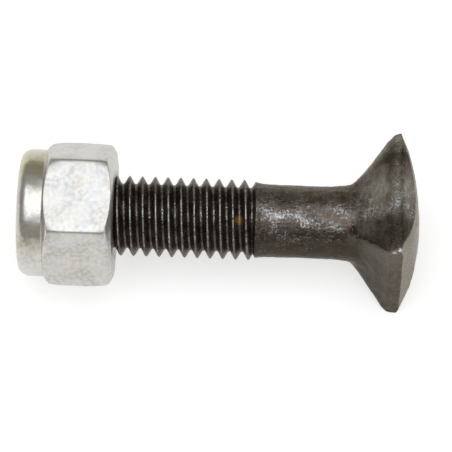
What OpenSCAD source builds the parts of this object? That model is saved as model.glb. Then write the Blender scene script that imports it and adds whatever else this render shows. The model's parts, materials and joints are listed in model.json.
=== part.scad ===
// Belt screw: a square-headed countersunk bolt with a domed top, carrying a high lock nut with
// a nylon ring. It lies on one side of its head and on one corner of its nut, as it comes to rest.
// Every piece is drawn upright first, with the screw's tip at zero and its head upwards, and is
// then laid down by laid().

/* [Thread] */
// Outer diameter over the thread's crests
thread_d = 7.85; // [7.6:0.01:8]
// Distance from one turn to the next, which sets the thread's depth and the chamfer of the tip
pitch = 1.25; // [1:0.05:1.5]
// Length from the tip to the end of the thread
thread_len = 19; // [15:0.5:20]

/* [Shank] */
// Diameter of the plain shank, that of the blank before rolling
shank_d = 7.13; // [6.9:0.01:7.4]
// Height of the lip that rolling raises where the thread ends
roll_lip = 0.12; // [0.05:0.01:0.2]
// Width of that lip
roll_lip_w = 0.4; // [0.2:0.05:0.8]
// Radius of the fillet where the shank runs into the head
neck_fillet = 1.2; // [0.6:0.1:1.6]

/* [Head] */
// Length of the screw from its tip to the top of the dome
screw_len = 35; // [33:0.5:40]
// Width of the square head across its flats
head_side = 12.9; // [12:0.1:14]
// Diameter over the blunt corners of the square
head_corner_d = 18; // [16.5:0.1:18]
// Angle between opposite faces of the tapered underside
head_angle = 90; // [84:1:96]
// Height of the upright land round the square
land = 1.1; // [0.5:0.1:1.5]
// Height of the top of the dome above the land
crown_h = 1.8; // [1.7:0.05:2.6]
// Angle to the axis of the four facets between the land and the dome
facet_angle = 54; // [35:1:60]
// Radius of the domed top
dome_r = 20.5; // [18:0.5:30]

/* [Nut] */
// Width across flats
nut_af = 12.8; // [12.5:0.05:13]
// Height from the bearing face to the lip of the collar
nut_h = 9.3; // [9:0.1:10]
// Height of the hexagon alone
hex_h = 6.8; // [6:0.1:7]
// Diameter of the flat bearing face, inside the chamfer
bearing_d = 12.2; // [11.6:0.1:12.5]
// Angle of the chamfers at both ends of the hexagon
chamfer_angle = 30; // [25:1:32]
// Outer diameter of the collar
collar_d = 12.45; // [12.2:0.05:12.5]
// Diameter of the opening inside the crimped lip
lip_opening = 9.2; // [8.8:0.1:9.8]
// Thickness of the crimped lip
lip_t = 0.7; // [0.5:0.05:0.9]
// Outer radius of the crimp
crimp_r = 1; // [0.8:0.05:1.1]
// Diameter of the countersink in the bearing face
countersink_d = 8.8; // [8.4:0.1:9.4]
// Turn of the nut against the head's flats, in degrees
nut_turn = 12; // [2:1:58]
// How far the screw's tip has passed the bearing face
nut_on = 5.2; // [4:0.1:9]

/* [Nylon ring] */
// Outer diameter of the ring
ring_d = 10.7; // [10.2:0.1:11]
// Height of the ring
ring_h = 2.1; // [1.8:0.1:2.4]

/* [Fits] */
// Gap all round between the thread and what runs on it
thread_gap = 0.05; // [0.02:0.01:0.1]
// Gap all round between the ring and its seat
ring_gap = 0.03; // [0.02:0.01:0.05]

/* [Hidden] */
$fn = 64;
steel_dark = [0.28, 0.25, 0.22];
zinc = [0.78, 0.78, 0.76];
nylon_white = [0.93, 0.92, 0.87];
ARC_STEPS = 8;
INSET = 0.03;
OVER = 1;
thread_r = thread_d / 2;
// The tip is chamfered down to just inside the thread's root
tip_chamfer = 0.72 * pitch;
shank_r = shank_d / 2;
half_side = head_side / 2;
corner_r = head_corner_d / 2;
flat_slope = head_angle / 2;
ridge_slope = atan(sqrt(2) * tan(flat_slope));
land_top = screw_len - crown_h;
land_z = land_top - land;
// Height where the ridges leave the shank
neck_z = flare(ridge_slope, corner_r)[0][1];
nut_r = nut_af / 2 / cos(30);
nut_foot_chamfer = (nut_r - bearing_d / 2) * tan(chamfer_angle);
nut_collar_chamfer = (nut_r - collar_d / 2) * tan(chamfer_angle);
bore_r = thread_r + thread_gap;
seat_r = ring_d / 2 + ring_gap;
ring_top = nut_h - lip_t - ring_gap;
seat_z = ring_top - ring_h - ring_gap;
// Resting attitude: the end of the head's land and the end of one nut corner touch the ground
corner_turn = abs(30 - (nut_turn % 60));
nut_low = nut_r * cos(corner_turn);
tilt = atan((nut_low - half_side) / (land_top - nut_on + nut_foot_chamfer));
lift = land_top * sin(tilt) + half_side * cos(tilt);
right_end = (screw_len - dome_r) * cos(tilt) + dome_r;
left_end = (nut_on - nut_h) * cos(tilt) - (collar_d / 2 - crimp_r) * sin(tilt);
mid_x = (left_end + right_end) / 2;

// Points along an arc about c, from angle a to angle b
function arc(c, r, a, b) = [for (i = [0:ARC_STEPS]) let (t = a + (b - a) * i / ARC_STEPS)
    [c[0] + r * cos(t), c[1] + r * sin(t)]];

// Half outline of the underside: it leaves the shank by a fillet and runs out at a slope to the
// axis up to half width w at the foot of the land
function flare(slope, w) = let (
        c = [shank_r - INSET + neck_fillet, 0],
        end = [c[0] - neck_fillet * cos(slope), neck_fillet * sin(slope)],
        rise = land_z - (w - end[0]) / tan(slope) - end[1])
    concat([for (p = arc(c, neck_fillet, 180, 180 - slope)) [p[0], p[1] + rise]], [[w, land_z]]);

// Turned body that blunts the ridges and the corners of the square
module blunt_corners() {
    rotate_extrude() polygon(concat([[0, neck_z]], flare(ridge_slope, corner_r),
        [[corner_r, screw_len + OVER], [0, screw_len + OVER]]));
}

// Two opposite sides: flat underside, land and facet, mirrored about the axis and drawn out
module paired_flats() {
    top = screw_len + OVER;
    pts = concat([[shank_r - INSET, neck_z - OVER]], flare(flat_slope, half_side),
        [[half_side, land_top], [half_side - (top - land_top) * tan(facet_angle), top]]);
    mirrored = [for (i = [len(pts) - 1:-1:0]) [-pts[i][0], pts[i][1]]];
    rotate([90, 0, 0]) linear_extrude(height = 2 * head_side, center = true)
        polygon(concat(pts, mirrored));
}

// Square tapered head: the dome, cut by two pairs of flat sides and by its blunt corners
module head() {
    intersection() {
        translate([0, 0, screw_len - dome_r]) sphere(r = dome_r, $fn = 128);
        blunt_corners();
        paired_flats();
        rotate([0, 0, 90]) paired_flats();
    }
}

// Shank with the threaded length below it, turned in one
module stem() {
    lip_r = shank_r + roll_lip;
    tip_r = thread_r - tip_chamfer;
    rotate_extrude() polygon([
        [0, 0], [tip_r, 0], [thread_r, tip_chamfer], [thread_r, thread_len - roll_lip_w],
        [lip_r, thread_len - roll_lip_w], [lip_r, thread_len], [shank_r, thread_len + roll_lip_w],
        [shank_r, land_z], [0, land_z]]);
}

module belt_screw() {
    color(steel_dark) laid() union() {
        stem();
        head();
    }
}

// Outline of the nut's turned outside: bearing face, chamfers, collar and crimped lip
function nut_outline() = concat(
    [[0, 0], [bearing_d / 2, 0], [nut_r, nut_foot_chamfer], [nut_r, hex_h - nut_collar_chamfer],
        [collar_d / 2, hex_h]],
    arc([collar_d / 2 - crimp_r, nut_h - crimp_r], crimp_r, 0, 90),
    [[0, nut_h]]);

// Hexagon and collar in one, drawn with the bearing face down
module nut_body() {
    difference() {
        intersection() {
            rotate_extrude() polygon(nut_outline());
            union() {
                rotate([0, 0, 30]) cylinder(r = nut_r, h = hex_h, $fn = 6);
                translate([0, 0, hex_h - OVER]) cylinder(d = collar_d + INSET, h = nut_h);
            }
        }
        translate([0, 0, -OVER]) cylinder(r = bore_r, h = nut_h);
        countersink();
        translate([0, 0, seat_z]) cylinder(r = seat_r, h = ring_top + ring_gap - seat_z);
        translate([0, 0, seat_z]) cylinder(d = lip_opening, h = nut_h);
    }
}

module countersink() {
    depth = (countersink_d / 2 - bore_r) * tan(chamfer_angle);
    translate([0, 0, -depth])
        cylinder(r1 = countersink_d / 2 + depth / tan(chamfer_angle), r2 = bore_r, h = 2 * depth);
}

module lock_nut() {
    color(zinc) laid() nut_place() nut_body();
}

// Locking ring with softened outer edges, in its seat under the crimped lip
module nylon_insert() {
    edge = ring_h / 8;
    r = ring_d / 2;
    color(nylon_white) laid() nut_place() translate([0, 0, ring_top - ring_h])
        difference() {
            rotate_extrude() polygon([[0, 0], [r - edge, 0], [r, edge], [r, ring_h - edge],
                [r - edge, ring_h], [0, ring_h]]);
            translate([0, 0, -OVER]) cylinder(r = bore_r, h = ring_h + 2 * OVER);
        }
}

// The nut's place on the screw, its bearing face towards the head
module nut_place() {
    translate([0, 0, nut_on]) rotate([0, 0, nut_turn]) rotate([180, 0, 0]) children();
}

// Lays an upright piece down as it comes to rest, centred over the ground point
module laid() {
    translate([-mid_x, 0, lift]) rotate([0, 90 + tilt, 0]) children();
}

belt_screw();
lock_nut();
nylon_insert();
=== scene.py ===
import json
import logging
import math
from dataclasses import dataclass, field
from enum import Enum

import bmesh
import bpy
import numpy as np
from mathutils import Matrix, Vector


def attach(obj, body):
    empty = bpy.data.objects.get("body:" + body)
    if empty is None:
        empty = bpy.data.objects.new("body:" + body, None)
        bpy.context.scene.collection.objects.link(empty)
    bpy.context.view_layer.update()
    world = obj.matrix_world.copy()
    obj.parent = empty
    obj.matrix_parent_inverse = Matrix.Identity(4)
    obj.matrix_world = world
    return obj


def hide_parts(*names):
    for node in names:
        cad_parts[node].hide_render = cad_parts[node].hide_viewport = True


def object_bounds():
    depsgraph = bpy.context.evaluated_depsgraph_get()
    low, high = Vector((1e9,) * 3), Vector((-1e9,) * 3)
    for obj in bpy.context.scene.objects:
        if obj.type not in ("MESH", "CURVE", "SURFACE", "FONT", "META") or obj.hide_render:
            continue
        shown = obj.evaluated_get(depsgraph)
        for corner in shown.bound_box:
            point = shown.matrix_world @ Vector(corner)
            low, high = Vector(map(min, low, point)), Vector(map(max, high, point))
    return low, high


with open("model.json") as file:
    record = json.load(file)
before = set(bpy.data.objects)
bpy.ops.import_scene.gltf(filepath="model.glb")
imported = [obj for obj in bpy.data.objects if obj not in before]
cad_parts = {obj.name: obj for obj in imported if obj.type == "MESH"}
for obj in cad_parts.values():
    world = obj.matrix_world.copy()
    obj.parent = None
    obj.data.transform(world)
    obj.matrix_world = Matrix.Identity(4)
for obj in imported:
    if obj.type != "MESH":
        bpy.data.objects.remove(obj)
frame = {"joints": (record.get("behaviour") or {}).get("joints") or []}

LOG = logging.getLogger("belt_screw")
MM = 0.001
CAD_BOX = [list(corner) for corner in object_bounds()]
IMAGE_SIDE = 452
SENSOR_MM = 36.0
# Distance from the screw's tip to the nut's bearing face at rest, in millimetres
NUT_ON = 5.2
# Depth of an outer metric thread over its pitch
THREAD_DEPTH = 0.6134
# Sockets of the Mix node when it mixes colours
MIX_FACTOR, MIX_A, MIX_B, MIX_RESULT = 0, 6, 7, 2


class Slot(Enum):
    """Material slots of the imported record."""

    STEEL = "blackened_steel"
    ZINC = "zinc_plated_steel"
    NYLON = "nylon"


class Body(Enum):
    """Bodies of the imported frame."""

    SCREW = "screw"
    RING = "ring"
    NUT = "nut"


# Shared mathematics


def smooth_step(low: float, high: float, value: np.ndarray) -> np.ndarray:
    """Eases from 0 at low to 1 at high.

    Args:
        low: Value at which the result leaves 0.
        high: Value at which the result reaches 1.
        value: Any array.

    Returns:
        The cubic 3t^2 - 2t^3 of the clipped share t of the way.
    """
    share = np.clip((value - low) / (high - low), 0.0, 1.0)
    return share * share * (3.0 - 2.0 * share)


def degrees_round(points: np.ndarray) -> np.ndarray:
    """Angle of each point round the axis, from 0 to 360 degrees."""
    return np.degrees(np.arctan2(points[:, 1], points[:, 0])) % 360.0


def smooth_max(a: np.ndarray, b: np.ndarray, width: float) -> np.ndarray:
    """The larger of a and b, with the crossing rounded over a width.

    Args:
        a: First array.
        b: Second array.
        width: Distance over which the two flow into each other.

    Returns:
        Half of a + b + sqrt((a - b)^2 + width^2).
    """
    return 0.5 * (a + b + np.sqrt((a - b) ** 2 + width**2))


def eased(count: int) -> np.ndarray:
    """count shares from 0 to 1, close together at both ends, as (1 - cos(pi t)) / 2."""
    return 0.5 - 0.5 * np.cos(np.pi * np.linspace(0.0, 1.0, count))


def between(start: np.ndarray, end: np.ndarray, shares: np.ndarray) -> np.ndarray:
    """Rows of points between two rows.

    Args:
        start: Columns by 2, the first row of (radius, height).
        end: Columns by 2, the last row.
        shares: How far along each new row lies, from 0 to 1.

    Returns:
        Rows by columns by 2, start + share * (end - start).
    """
    return start[None] + shares[:, None, None] * (end - start)[None]


def softened(rows: np.ndarray, times: int) -> np.ndarray:
    """Rounds the edges that run along rows, by averaging each row with its neighbours.

    Args:
        rows: Rows by columns by 2.
        times: How often to average; straight stretches keep their shape.

    Returns:
        Rows of the same shape, the first and last as they were.
    """
    for _ in range(times):
        rows[1:-1] = 0.25 * rows[:-2] + 0.5 * rows[1:-1] + 0.25 * rows[2:]
    return rows


@dataclass(frozen=True)
class Band:
    """A stretch of heights, distances or angles over which something begins, ends or lasts.

    Attributes:
        low: Its lower limit.
        high: Its upper limit.
    """

    low: float
    high: float

    def rise(self, value: np.ndarray) -> np.ndarray:
        """Eases from 0 at low to 1 at high."""
        return smooth_step(self.low, self.high, value)

    def fall(self, value: np.ndarray) -> np.ndarray:
        """Eases from 1 at low to 0 at high."""
        return 1.0 - self.rise(value)

    def inside(self, value: np.ndarray, soft: float) -> np.ndarray:
        """1 between low and high, easing to 0 at both.

        Args:
            value: Any array.
            soft: Width of each slope, centred on the limit.

        Returns:
            The product of a rising and a falling smooth step.
        """
        half = soft / 2.0
        rising = Band(self.low - half, self.low + half).rise(value)
        return rising * Band(self.high - half, self.high + half).fall(value)


@dataclass(frozen=True)
class Bump:
    """A soft bump.

    Attributes:
        middle: Where it is 1.
        half: Distance from its middle at which it has fallen to 1 / e.
    """

    middle: float
    half: float

    def at(self, value: np.ndarray) -> np.ndarray:
        """Its height, exp(-((value - middle) / half)^2)."""
        return np.exp(-(((value - self.middle) / self.half) ** 2))


@dataclass(frozen=True)
class Waves:
    """Smooth noise in space: a sum of plane waves of random direction and phase.

    Attributes:
        size_mm: Length of the waves, give or take a third.
        seed: Seed of the random draws.
        count: Number of waves.
    """

    size_mm: float
    seed: int
    count: int = 28

    def at(self, points_mm: np.ndarray) -> np.ndarray:
        """Noise at points.

        Args:
            points_mm: Points by 3.

        Returns:
            One value for each point, of mean 0 and standard deviation about 1.
        """
        rng = np.random.default_rng(self.seed)
        direction = rng.normal(size=(3, self.count))
        direction /= np.linalg.norm(direction, axis=0)
        lengths = self.size_mm * rng.uniform(0.67, 1.5, self.count)
        phase = rng.uniform(0.0, 2.0 * np.pi, self.count)
        total = np.sin(points_mm @ (direction * 2.0 * np.pi / lengths) + phase).sum(axis=1)
        return total * math.sqrt(2.0 / self.count)


@dataclass(frozen=True)
class Patch:
    """A soft-edged mark on a round skin.

    Attributes:
        height: Height of its middle, in millimetres.
        angle: Angle of its middle round the axis, in degrees.
        tall: Half its size along the axis, in millimetres.
        wide: Half its size round the axis, in millimetres.
    """

    height: float
    angle: float
    tall: float
    wide: float

    def at(self, points: np.ndarray, angle: np.ndarray) -> np.ndarray:
        """Strength of the mark, exp(-(distance along / tall)^2 - (distance round / wide)^2).

        Args:
            points: Points by 3.
            angle: Angle of each point round the axis, in degrees.

        Returns:
            A share for each point.
        """
        along = (points[:, 2] - self.height) / self.tall
        arc = np.radians(angle - self.angle) * np.hypot(points[:, 0], points[:, 1]) / self.wide
        return np.exp(-(along**2) - arc**2)


@dataclass(frozen=True)
class Lie:
    """How the upright pieces lie in the frame.

    A point is drawn upright, with the screw's tip at the origin, its head upwards and its size in
    millimetres, and is then placed in the frame, in metres.

    Attributes:
        tip: The screw's tip in the frame, in metres.
        axis: Unit vector along the screw, towards its head.
    """

    tip: np.ndarray
    axis: np.ndarray

    @classmethod
    def of_frame(cls, joints: list, nut_on: float) -> "Lie":
        """Reads the axis and the tip off the nut's joint.

        Args:
            joints: The frame's joints.
            nut_on: Distance of the joint's point from the tip, in millimetres.

        Returns:
            The lie of the screw.
        """
        turn = next(joint for joint in joints if joint["name"] == "nut_turn")
        axis = np.array(turn["axis"], float)
        return cls(np.array(turn["pos_m"], float) - nut_on * MM * axis, axis)

    def basis(self) -> np.ndarray:
        """Rows: the drawn x, y and z directions in the frame."""
        return np.array([[self.axis[2], 0.0, -self.axis[0]], [0.0, 1.0, 0.0], self.axis])

    def place(self, points_mm: np.ndarray) -> np.ndarray:
        """Drawn points to the frame: tip + x X + y Y + z Z.

        Args:
            points_mm: Points by 3, in millimetres.

        Returns:
            Points by 3, in metres.
        """
        return self.tip + points_mm @ self.basis() * MM


class Surface:
    """A closed skin on a grid of rows round the axis, turned into a mesh in the frame."""

    def __init__(self, name: str, lie: Lie) -> None:
        """Starts an empty skin.

        Args:
            name: Name of the object to be made.
            lie: How the drawn points lie in the frame.
        """
        self.name = name
        self.lie = lie
        self.points = np.zeros((0, 3))
        self.normals = np.zeros((0, 3))
        self.mesh = bpy.data.meshes.new(name)

    def fill(self, turns: np.ndarray, radii: np.ndarray, heights: np.ndarray, ring: bool) -> None:
        """Makes the mesh of x = r cos(a), y = r sin(a), z = h, and merges what falls together.

        Rows that are squeezed onto one circle, the seam at a full turn and the poles merge, so
        that the skin is closed.

        Args:
            turns: Angle of each point, rows by columns, in radians.
            radii: Distance of each point from the axis, in millimetres.
            heights: Height of each point, in millimetres.
            ring: Whether the last row joins the first, as on a ring.
        """
        drawn = np.stack([radii * np.cos(turns), radii * np.sin(turns), heights], axis=-1)
        rows, columns = radii.shape
        index = np.arange(rows * columns).reshape(rows, columns)
        if ring:
            index = np.vstack([index, index[:1]])
        faces = np.stack(
            [index[:-1, :-1], index[:-1, 1:], index[1:, 1:], index[1:, :-1]], axis=-1
        ).reshape(-1, 4)
        self.mesh.from_pydata(drawn.reshape(-1, 3).tolist(), [], faces.tolist())
        work = bmesh.new()
        work.from_mesh(self.mesh)
        bmesh.ops.remove_doubles(work, verts=work.verts, dist=1e-5)
        bmesh.ops.recalc_face_normals(work, faces=work.faces)
        work.to_mesh(self.mesh)
        work.free()
        self.read()

    def read(self) -> None:
        """Reads the drawn points and their normals back from the mesh."""
        count = len(self.mesh.vertices)
        points, normals = np.zeros(count * 3, np.float32), np.zeros(count * 3, np.float32)
        self.mesh.vertices.foreach_get("co", points)
        self.mesh.vertex_normals.foreach_get("vector", normals)
        self.points = points.reshape(-1, 3).astype(float)
        self.normals = normals.reshape(-1, 3).astype(float)

    def radius(self) -> np.ndarray:
        """Distance of each point from the axis."""
        return np.hypot(self.points[:, 0], self.points[:, 1])

    def press(self, depth: np.ndarray) -> None:
        """Moves each point out along its normal by a depth in millimetres."""
        self.shift(self.normals * depth[:, None])

    def shift(self, step: np.ndarray) -> None:
        """Moves each point by its own step, and reads the new normals.

        Args:
            step: Points by 3, in millimetres.
        """
        self.points = self.points + step
        self.mesh.vertices.foreach_set("co", self.points.astype(np.float32).ravel())
        self.mesh.update()
        self.read()

    def sharpness(self) -> np.ndarray:
        """How sharply convex the skin is at each point.

        Returns:
            The height of a point over the mean of its neighbours, along its normal, divided by
            the square of their mean distance: about half the curvature, in 1/mm.
        """
        edges = np.zeros(len(self.mesh.edges) * 2, np.int32)
        self.mesh.edges.foreach_get("vertices", edges)
        ends = np.concatenate([edges.reshape(-1, 2), edges.reshape(-1, 2)[:, ::-1]])
        step = self.points[ends[:, 0]] - self.points[ends[:, 1]]
        rise = np.einsum("ij,ij->i", step, self.normals[ends[:, 0]])
        square = np.bincount(ends[:, 0], np.einsum("ij,ij->i", step, step), len(self.points))
        return np.bincount(ends[:, 0], rise, len(self.points)) / np.maximum(square, 1e-9)

    def store(self, name: str, values: np.ndarray) -> None:
        """Keeps a value for each point, clipped to 0..1, for the materials to read."""
        layer = self.mesh.attributes.new(name, "FLOAT", "POINT")
        layer.data.foreach_set("value", np.clip(values, 0.0, 1.0).astype(np.float32))

    def finish(self, material: bpy.types.Material) -> bpy.types.Object:
        """Places the skin in the frame and dresses it.

        Args:
            material: The finish.

        Returns:
            The new object, at the origin, with its place in its mesh.
        """
        # The few spots that would reach beyond the solids' box are pressed flat
        placed = np.clip(self.lie.place(self.points), CAD_BOX[0], CAD_BOX[1])
        self.mesh.vertices.foreach_set("co", placed.astype(np.float32).ravel())
        self.mesh.shade_smooth()
        self.mesh.materials.append(material)
        self.mesh.update()
        piece = bpy.data.objects.new(self.name, self.mesh)
        bpy.context.scene.collection.objects.link(piece)
        return piece


@dataclass(frozen=True)
class Thread:
    """Right-hand metric thread, as a radius that depends on the phase along a turn.

    Attributes:
        pitch: Distance from one turn to the next, in millimetres.
        start: Height of a crest at angle 0.
        crest_r: Radius over the crests.
        root_r: Radius in the roots.
        crest_share: Share of a pitch that the crest's flat takes.
        root_share: Share of a pitch that the root's flat takes.
    """

    pitch: float
    start: float
    crest_r: float
    root_r: float
    crest_share: float
    root_share: float

    # Share of each flank's curve that eases into crest and root, where the flank is rounded
    ROUNDED = 0.2
    # Shares of a pitch from a crest at which the grid has a row, close together at the edges
    SAMPLES = np.array([0.0, 0.04, 0.07, 0.1, 0.16, 0.22, 0.28, 0.34, 0.39, 0.42, 0.46])

    def radius(self, phase: np.ndarray) -> np.ndarray:
        """Radius at a phase: flat crest, straight flanks and flat root, with rounded edges.

        Args:
            phase: Distance from a crest in pitches, any array.

        Returns:
            The radius in millimetres.
        """
        off = np.abs((phase + 0.5) % 1.0 - 0.5)
        low, high = self.crest_share / 2.0, 0.5 - self.root_share / 2.0
        share = np.clip((off - low) / (high - low), 0.0, 1.0)
        eased_share = share - np.sin(2.0 * np.pi * share) / (2.0 * np.pi)
        depth = share + self.ROUNDED * (eased_share - share)
        return self.crest_r + (self.root_r - self.crest_r) * depth

    def rows(self, low: float, high: float, turns: np.ndarray) -> np.ndarray:
        """Heights of rows that climb with the thread and are held between two heights.

        Args:
            low: Lowest height.
            high: Highest height.
            turns: Angle of each column, in radians, from 0 to a full turn.

        Returns:
            Rows by columns: start + pitch * (sample + angle / full turn), clipped.
        """
        samples = np.concatenate([self.SAMPLES, 1.0 - self.SAMPLES[:0:-1]])
        first = math.floor((low - self.start) / self.pitch) - 1
        last = math.ceil((high - self.start) / self.pitch) + 1
        marks = (np.arange(first, last)[:, None] + samples[None]).ravel()
        climb = marks[:, None] + turns[None] / (2.0 * np.pi)
        heights = np.clip(self.start + self.pitch * climb, low, high)
        inside = (heights.max(axis=1) > low) & (heights.min(axis=1) < high)
        return heights[inside]

    def phase(self, heights: np.ndarray, turns: np.ndarray) -> np.ndarray:
        """Pitches from a crest, at a height and an angle."""
        return (heights - self.start) / self.pitch - turns / (2.0 * np.pi)


# Finishes


def linear(colour: str) -> tuple[float, float, float, float]:
    """An sRGB hex colour as linear red, green, blue and alpha.

    Args:
        colour: Six hex digits after a hash sign.

    Returns:
        Linear values from 0 to 1, alpha 1.
    """
    parts = [int(colour[i : i + 2], 16) / 255.0 for i in (1, 3, 5)]
    red, green, blue = (p / 12.92 if p <= 0.04045 else ((p + 0.055) / 1.055) ** 2.4 for p in parts)
    return red, green, blue, 1.0


def per_size(size_mm: float) -> float:
    """Texture scale, in 1/m, at which a pattern's features are about size_mm apart."""
    return 1.0 / (size_mm * MM)


def add_node(
    tree: bpy.types.NodeTree, kind: str, inputs: dict | None = None, **settings
) -> bpy.types.Node:
    """Adds a node with its settings and links.

    Args:
        tree: The tree that gets the node.
        kind: Blender's name of the node's type.
        inputs: Socket name or number to a socket to link, or to a value to set.
        **settings: Properties of the node.

    Returns:
        The new node.
    """
    new = tree.nodes.new(kind)
    for name, value in settings.items():
        setattr(new, name, value)
    for key, value in (inputs or {}).items():
        if isinstance(value, bpy.types.NodeSocket):
            tree.links.new(value, new.inputs[key])
        else:
            new.inputs[key].default_value = value
    return new


def layered(
    tree: bpy.types.NodeTree, base: str, layers: list[tuple[bpy.types.NodeSocket, str]]
) -> bpy.types.NodeSocket:
    """Lays colours over one another.

    Args:
        tree: The tree of a material or of the world.
        base: The lowest colour, as a hex value.
        layers: From the lowest to the highest, the share of each that shows and its hex value.

    Returns:
        A socket with the colour that is left on top.
    """
    colour = linear(base)
    for share, over in layers:
        colour = add_node(
            tree, "ShaderNodeMix", {MIX_FACTOR: share, MIX_A: colour, MIX_B: linear(over)},
            data_type="RGBA",
        ).outputs[MIX_RESULT]
    return colour


@dataclass(frozen=True)
class Pattern:
    """A cloudy pattern of a real size.

    Attributes:
        size_mm: Size of its patches.
        detail: Number of finer layers.
        low: Noise value that becomes 0.
        high: Noise value that becomes 1.
        rough: How strong each finer layer is beside the one before.
    """

    size_mm: float
    detail: float
    low: float
    high: float
    rough: float = 0.6

    def share(
        self, tree: bpy.types.NodeTree, place: bpy.types.NodeSocket
    ) -> bpy.types.NodeSocket:
        """Adds the pattern to a material.

        Args:
            tree: The material's tree.
            place: Coordinates in metres.

        Returns:
            A socket with its share, from 0 to 1.
        """
        cloud = add_node(
            tree, "ShaderNodeTexNoise",
            {"Vector": place, "Scale": per_size(self.size_mm), "Detail": self.detail,
             "Roughness": self.rough},
        )
        return add_node(
            tree, "ShaderNodeMapRange",
            {"Value": cloud.outputs[0], "From Min": self.low, "From Max": self.high},
        ).outputs[0]


@dataclass(frozen=True)
class Finish:
    """What every finish shares: its tree, its coordinates and its shader.

    Attributes:
        name: Name of the material.
        slot: The record's slot that it stands for; not used.
    """

    name: str
    slot: Slot

    def material(self) -> bpy.types.Material:
        """Makes the material and lets the finish fill its tree.

        Returns:
            The new material.
        """
        made = bpy.data.materials.new(self.name)
        made.use_nodes = True
        tree = made.node_tree
        tree.nodes.clear()
        shader = add_node(tree, "ShaderNodeBsdfPrincipled")
        add_node(tree, "ShaderNodeOutputMaterial", {"Surface": shader.outputs[0]})
        place = add_node(tree, "ShaderNodeTexCoord").outputs["Object"]
        self.dress(tree, shader, place)
        return made

    def dress(
        self, tree: bpy.types.NodeTree, shader: bpy.types.Node, place: bpy.types.NodeSocket
    ) -> None:
        """Adds the finish's own nodes; each finish has its own."""
        raise NotImplementedError


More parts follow.
